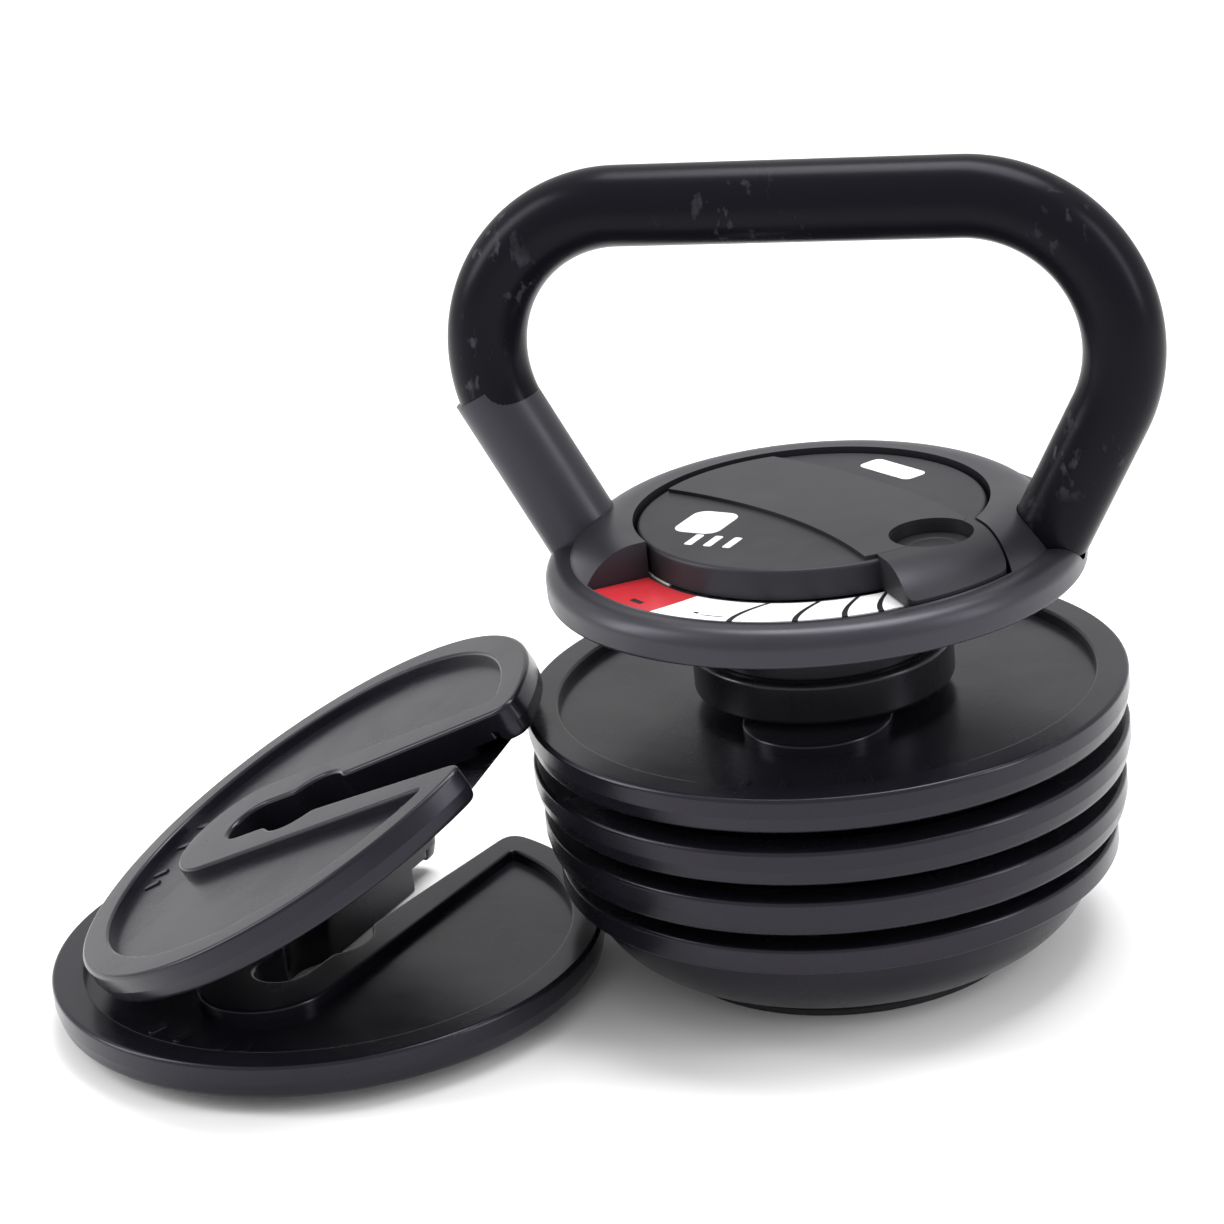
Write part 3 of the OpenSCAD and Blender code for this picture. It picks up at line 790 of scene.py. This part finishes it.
trim = round_at("trim", 57.9, dial_top, trim_top, Vector((0, 0, 0)), 224)
band = lathe("band", [(181, 140), (224.5, 140), (224.5, 180), (181, 180)], 512)
band.data.transform(Matrix.Translation((BAND_CENTRE[0] * MM, BAND_CENTRE[1] * MM, 0)))
combine(trim, "INTERSECT", band)
combine(trim, "DIFFERENCE", round_at("hole", FINGER_R + 0.3, 150, 175))
dress(smooth(bevel(weld(trim), 0.7)), "trim_band")


# ---- printed marks ----

def mark_slab(bm, centre, size, turn):
    """One print: a rectangle with rounded corners."""
    a = math.radians(turn)
    half_x, half_y = size[0] / 2, size[1] / 2
    fillet = min(half_x, half_y) * 0.55
    line = []
    for sx, sy, start in ((1, 1, 0), (-1, 1, 90), (-1, -1, 180), (1, -1, 270)):
        line += arc((sx * (half_x - fillet), sy * (half_y - fillet)), fillet, start, start + 90, 6)
    line = [(centre[0] + x * math.cos(a) - y * math.sin(a),
             centre[1] + x * math.sin(a) + y * math.cos(a)) for x, y in line]
    add_slab(bm, [line], [straight(dial_top, high("dial_marks").z)])


bm = bmesh.new()
mark_slab(bm, (-33.5, -14), (17, 21), -14)
for i in range(3):
    mark_slab(bm, (-33.5 + 7 * i, -31 - 1.5 * i), (3, 10), -14)
mark_slab(bm, (20.2, 40.7), (26, 10), -37)
dress(new_object("marks", bm), "dial_marks")


# ---- clamp ----

def turned(node, inner, fillet):
    """A ring with rounded outer edges, sized by its CAD node."""
    bottom, top = low(node), high(node)
    outer = (top.x - bottom.x) / 2
    profile = ([(inner, bottom.z + 0.4), (inner + 0.4, bottom.z)]
               + arc((outer - fillet, bottom.z + fillet), fillet, -90, 0, 6)
               + arc((outer - fillet, top.z - fillet), fillet, 0, 90, 6)
               + [(inner + 0.4, top.z), (inner, top.z - 0.4)])
    return dress(smooth(lathe(node, profile)), node)


SLEEVE_WALL = 2.7
turned("clamp_collar", high("clamp_collar").x - 4.1, 2)
for node in ("lower_sleeve", "upper_sleeve"):
    turned(node, high(node).x - SLEEVE_WALL, 0.4)

button_low, button_top = low("lock_button").z, high("lock_button").z
button_r = high("lock_button").x - finger.x
button = lathe("button", [(0.01, button_low + 0.05), (button_r - 0.9, button_low + 0.05),
                          (button_r, button_low + 0.8)]
               + arc((button_r - 0.7, button_top - 0.7), 0.7, 0, 90, 5)
               + [(9, button_top), (8.2, button_top - 0.25), (7.5, button_top - 0.4),
                  (0.01, button_top - 0.4)], 96)
button.data.transform(Matrix.Translation((finger.x * MM, finger.y * MM, 0)))
dress(smooth(button), "lock_button")

WIRE_R = 0.35
SPRING_TURNS = 3
WIRE_SIDES = 12
spring_low, spring_high = low("button_spring").z, high("button_spring").z
coil_r = (high("button_spring").x - low("button_spring").x) / 2 - WIRE_R - 0.05
bm = bmesh.new()
rings = []
coil_steps = SPRING_TURNS * 36
for i in range(coil_steps + 1):
    a = 2 * math.pi * SPRING_TURNS * i / coil_steps
    rise = spring_low + WIRE_R + (spring_high - spring_low - 2 * WIRE_R) * i / coil_steps
    ring = []
    for k in range(WIRE_SIDES):
        b = 2 * math.pi * k / WIRE_SIDES
        reach = coil_r + WIRE_R * math.cos(b)
        ring.append(bm.verts.new(((finger.x + reach * math.cos(a)) * MM,
                                  (finger.y + reach * math.sin(a)) * MM,
                                  (rise + WIRE_R * math.sin(b)) * MM)))
    rings.append(ring)
for ring, after in zip(rings, rings[1:]):
    for k in range(WIRE_SIDES):
        n = (k + 1) % WIRE_SIDES
        bm.faces.new((ring[k], ring[n], after[n], after[k]))
bm.faces.new(list(reversed(rings[0])))
bm.faces.new(rings[-1])
bmesh.ops.recalc_face_normals(bm, faces=bm.faces)
spring = dress(smooth(new_object("spring", bm)), "button_spring")
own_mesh(spring)


# ---- studio ----

bm = bmesh.new()
FLOOR_HALF = 6.0
corners = [bm.verts.new((x * FLOOR_HALF, y * FLOOR_HALF, -0.0002))
           for x, y in ((-1, -1), (1, -1), (1, 1), (-1, 1))]
bm.faces.new(corners)
floor = new_object("floor", bm)
floor.data.materials.append(floor_paint())


def softbox(name, place, target, size, power):
    light = bpy.data.lights.new(name, "AREA")
    light.shape = "RECTANGLE"
    light.size, light.size_y = size
    light.energy = power
    obj = bpy.data.objects.new(name, light)
    bpy.context.scene.collection.objects.link(obj)
    obj.location = place
    obj.rotation_euler = (Vector(target) - Vector(place)).to_track_quat("-Z", "Y").to_euler()
    return obj


AIM = (0, 0, 0.1)
softbox("overhead", (0.1, 0.35, 1.7), AIM, (1.3, 0.7), 30)
softbox("left", (-1.5, -0.4, 1.0), AIM, (0.5, 1.3), 16)
softbox("right", (1.6, -0.3, 0.9), AIM, (0.35, 1.3), 11)

world = bpy.data.worlds.new("studio")
world.use_nodes = True
world.node_tree.nodes["Background"].inputs["Color"].default_value = (1, 1, 1, 1)
world.node_tree.nodes["Background"].inputs["Strength"].default_value = 0.9
bpy.context.scene.world = world

# Camera at the photo's viewing angle
CAM_AT = Vector((277.78, -1097.73, 553.66)) * MM
CAM_AZ, CAM_EL, CAM_ROLL = (math.radians(v) for v in (17.82, 20.48, -6.04))
CAM_FOV = 19.868
back = Vector((math.sin(CAM_AZ) * math.cos(CAM_EL), -math.cos(CAM_AZ) * math.cos(CAM_EL),
               math.sin(CAM_EL)))
level = Vector((math.cos(CAM_AZ), math.sin(CAM_AZ), 0))
upright = back.cross(level)
across = math.cos(CAM_ROLL) * level + math.sin(CAM_ROLL) * upright
up = -math.sin(CAM_ROLL) * level + math.cos(CAM_ROLL) * upright
lens = bpy.data.cameras.new("camera")
lens.sensor_fit = "HORIZONTAL"
lens.angle = math.radians(CAM_FOV)
camera = bpy.data.objects.new("camera", lens)
bpy.context.scene.collection.objects.link(camera)
camera.matrix_world = Matrix((across, up, back)).transposed().to_4x4()
camera.location = CAM_AT
bpy.context.scene.camera = camera
bpy.context.scene.view_settings.view_transform = "Standard"
